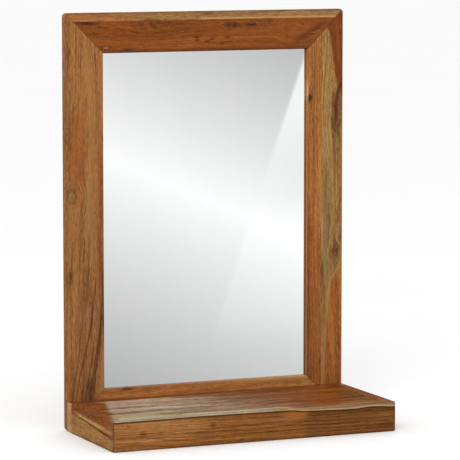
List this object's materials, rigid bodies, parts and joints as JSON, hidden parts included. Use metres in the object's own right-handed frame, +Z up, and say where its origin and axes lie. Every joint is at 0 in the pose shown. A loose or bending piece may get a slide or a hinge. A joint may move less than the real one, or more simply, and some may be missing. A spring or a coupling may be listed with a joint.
{
  "type": "mirror with shelf",
  "caption": "Rectangular wall mirror in a flat mitred hardwood frame, with a boxed wooden shelf across its foot.",
  "frame": {"origin": "in the plane that the frame and the shelf stand on, midway between the sides and midway between the wall face and the shelf's front", "axes": "+X to the viewer's right, -Y towards the viewer with the wall face at +Y, +Z up"},
  "size_m": [0.4, 0.18, 0.55],
  "materials": {
    "frame_wood": "satin lacquered solid hardwood, reddish brown with honey and pale sapwood bands",
    "shelf_wood": "semi-gloss lacquered solid hardwood, honey to reddish brown",
    "joint_wood": "raw beech",
    "mirror": "silvered float glass with ground edges",
    "back_board": "smooth brown hardboard",
    "plated_steel": "bright zinc plating"
  },
  "bodies": {
    "root": {"bottom_rail": "frame_wood", "top_rail": "frame_wood", "left_stile": "frame_wood", "right_stile": "frame_wood", "biscuit_1": "joint_wood", "biscuit_2": "joint_wood", "biscuit_3": "joint_wood", "biscuit_4": "joint_wood", "mirror_pane": "mirror", "back_panel": "back_board", "panel_screw_1": "plated_steel", "panel_screw_2": "plated_steel", "panel_screw_3": "plated_steel", "panel_screw_4": "plated_steel", "panel_screw_5": "plated_steel", "panel_screw_6": "plated_steel", "panel_screw_7": "plated_steel", "panel_screw_8": "plated_steel", "panel_screw_9": "plated_steel", "panel_screw_10": "plated_steel", "hanger_plate_left": "plated_steel", "hanger_plate_right": "plated_steel", "hanger_screw_1": "plated_steel", "hanger_screw_2": "plated_steel", "hanger_screw_3": "plated_steel", "hanger_screw_4": "plated_steel", "shelf_front_board": "shelf_wood", "shelf_left_end": "shelf_wood", "shelf_right_end": "shelf_wood", "shelf_back_rail": "shelf_wood", "shelf_top_board": "shelf_wood", "shelf_spline_left": "joint_wood", "shelf_spline_right": "joint_wood", "dowel_1": "joint_wood", "dowel_2": "joint_wood", "dowel_3": "joint_wood", "dowel_4": "joint_wood", "shelf_screw_1": "plated_steel", "shelf_screw_2": "plated_steel", "shelf_screw_3": "plated_steel", "shelf_screw_4": "plated_steel"}
  },
  "joints": []
}
